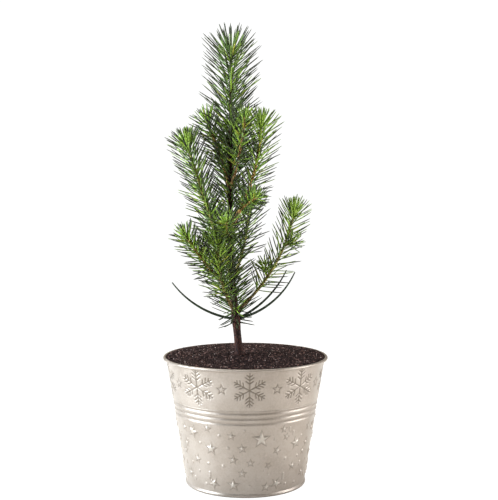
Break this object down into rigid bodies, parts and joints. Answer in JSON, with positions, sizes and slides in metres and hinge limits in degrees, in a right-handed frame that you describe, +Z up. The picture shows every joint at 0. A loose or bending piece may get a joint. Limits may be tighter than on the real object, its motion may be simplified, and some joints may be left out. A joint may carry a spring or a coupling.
{
  "type": "potted italian stone pine",
  "caption": "Young Italian stone pine with an upright trunk and upturned needle-covered shoots, growing in a round tapered metal pot filled with soil.",
  "frame": {"origin": "centre of the pot's flat underside, on the surface that it stands on", "axes": "+Z up along the pot's axis; the front view looks along +Y with +X to the right"},
  "size_m": [0.165, 0.165, 0.4601],
  "materials": {
    "pearl_paint": "satin pearl cream paint over pressed metal",
    "potting_soil": "matt dark brown potting soil",
    "trunk_bark": "matt dark reddish-brown bark",
    "bough_bark": "matt olive-brown young bark",
    "shoot_needles": "satin mid-green needles",
    "trunk_needles": "satin dark green needles"
  },
  "bodies": {
    "root": {"pot": "pearl_paint", "soil": "potting_soil", "trunk": "trunk_bark", "bough_right_upper": "bough_bark", "bough_left_outer": "bough_bark", "bough_right_low": "bough_bark", "bough_left_upper": "bough_bark", "bough_right_inner": "bough_bark", "bough_front_low": "bough_bark", "bough_left_low": "bough_bark", "bough_back_low": "bough_bark", "bough_back_middle": "bough_bark", "bough_back_upper": "bough_bark", "bough_back_high": "bough_bark", "bough_front_middle": "bough_bark", "bough_right_short": "bough_bark", "needles_right_upper": "shoot_needles", "needles_left_outer": "shoot_needles", "needles_right_low": "shoot_needles", "needles_left_upper": "shoot_needles", "needles_right_inner": "shoot_needles", "needles_front_low": "shoot_needles", "needles_left_low": "shoot_needles", "needles_back_low": "shoot_needles", "needles_back_middle": "shoot_needles", "needles_back_upper": "shoot_needles", "needles_back_high": "shoot_needles", "needles_front_middle": "shoot_needles", "needles_right_short": "shoot_needles", "needles_foot": "trunk_needles", "needles_low": "trunk_needles", "needles_middle": "trunk_needles", "needles_upper": "trunk_needles", "needles_crown": "trunk_needles", "needles_leader": "trunk_needles"}
  },
  "joints": []
}
